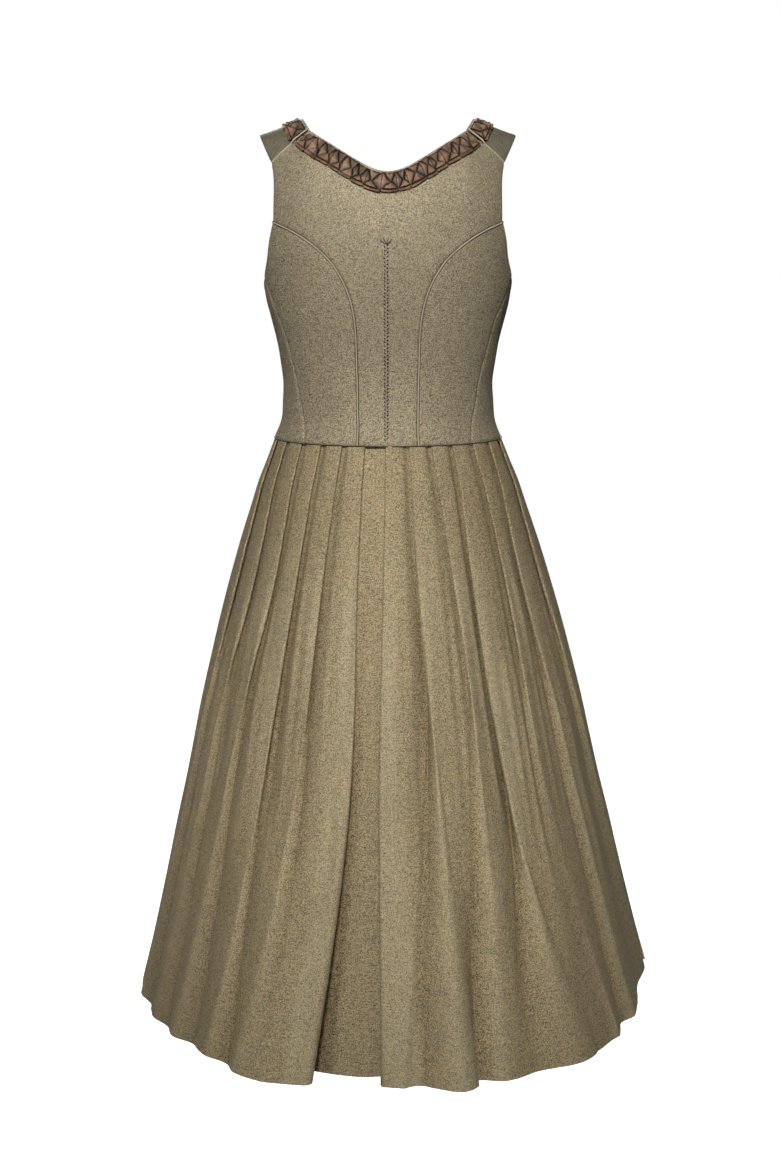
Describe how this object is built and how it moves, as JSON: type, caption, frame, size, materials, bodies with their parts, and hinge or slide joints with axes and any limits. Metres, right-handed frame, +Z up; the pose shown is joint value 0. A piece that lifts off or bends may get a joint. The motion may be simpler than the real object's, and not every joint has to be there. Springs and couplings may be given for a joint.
{
  "type": "dirndl dress",
  "caption": "Sleeveless linen dirndl dress, filled out as worn, with a fitted princess-seamed bodice, a ruched neck trim and a full knife-pleated skirt.",
  "frame": {"origin": "the point midway between the shoulders, level with what carries the yokes, 0.352 m above the waist seam", "axes": "+Z up, the pictured back of the dress towards +Y and its front towards -Y, the wearer's left towards +X"},
  "size_m": [0.6452, 0.6688, 1.0679],
  "materials": {
    "back_centre": "melange linen, plain weave with a soft sheen",
    "back_side_left": "melange linen, plain weave with a soft sheen",
    "side_front_left": "melange linen, plain weave with a soft sheen",
    "front_left": "melange linen, plain weave with a soft sheen",
    "back_side_right": "melange linen, plain weave with a soft sheen",
    "side_front_right": "melange linen, plain weave with a soft sheen",
    "front_right": "melange linen, plain weave with a soft sheen",
    "yoke_left": "grey-olive linen twill, matt",
    "yoke_right": "grey-olive linen twill, matt",
    "piping_back_left": "melange linen, plain weave with a soft sheen",
    "piping_front_left": "melange linen, plain weave with a soft sheen",
    "yoke_cord_back_left": "melange linen, plain weave with a soft sheen",
    "yoke_cord_front_left": "melange linen, plain weave with a soft sheen",
    "piping_back_right": "melange linen, plain weave with a soft sheen",
    "piping_front_right": "melange linen, plain weave with a soft sheen",
    "yoke_cord_back_right": "melange linen, plain weave with a soft sheen",
    "yoke_cord_front_right": "melange linen, plain weave with a soft sheen",
    "trim_back": "brown silk taffeta, pinched into box pleats, with a sheen",
    "trim_yoke_left": "brown silk taffeta, pinched into box pleats, with a sheen",
    "trim_front_left": "brown silk taffeta, pinched into box pleats, with a sheen",
    "trim_yoke_right": "brown silk taffeta, pinched into box pleats, with a sheen",
    "trim_front_right": "brown silk taffeta, pinched into box pleats, with a sheen",
    "skirt_back_left": "melange linen, plain weave, pleated",
    "skirt_back_right": "melange linen, plain weave, pleated",
    "skirt_front": "melange linen, plain weave, pleated",
    "button_1": "dark horn, polished",
    "button_2": "dark horn, polished",
    "button_3": "dark horn, polished",
    "button_4": "dark horn, polished",
    "button_5": "dark horn, polished",
    "button_6": "dark horn, polished",
    "button_7": "dark horn, polished"
  },
  "bodies": {
    "root": {"back_centre": "back_centre", "back_side_left": "back_side_left", "side_front_left": "side_front_left", "front_left": "front_left", "back_side_right": "back_side_right", "side_front_right": "side_front_right", "front_right": "front_right", "yoke_left": "yoke_left", "yoke_right": "yoke_right", "piping_back_left": "piping_back_left", "piping_front_left": "piping_front_left", "yoke_cord_back_left": "yoke_cord_back_left", "yoke_cord_front_left": "yoke_cord_front_left", "piping_back_right": "piping_back_right", "piping_front_right": "piping_front_right", "yoke_cord_back_right": "yoke_cord_back_right", "yoke_cord_front_right": "yoke_cord_front_right", "trim_back": "trim_back", "trim_yoke_left": "trim_yoke_left", "trim_front_left": "trim_front_left", "trim_yoke_right": "trim_yoke_right", "trim_front_right": "trim_front_right", "skirt_back_left": "skirt_back_left", "skirt_back_right": "skirt_back_right", "skirt_front": "skirt_front", "button_1": "button_1", "button_2": "button_2", "button_3": "button_3", "button_4": "button_4", "button_5": "button_5", "button_6": "button_6", "button_7": "button_7"}
  },
  "joints": []
}
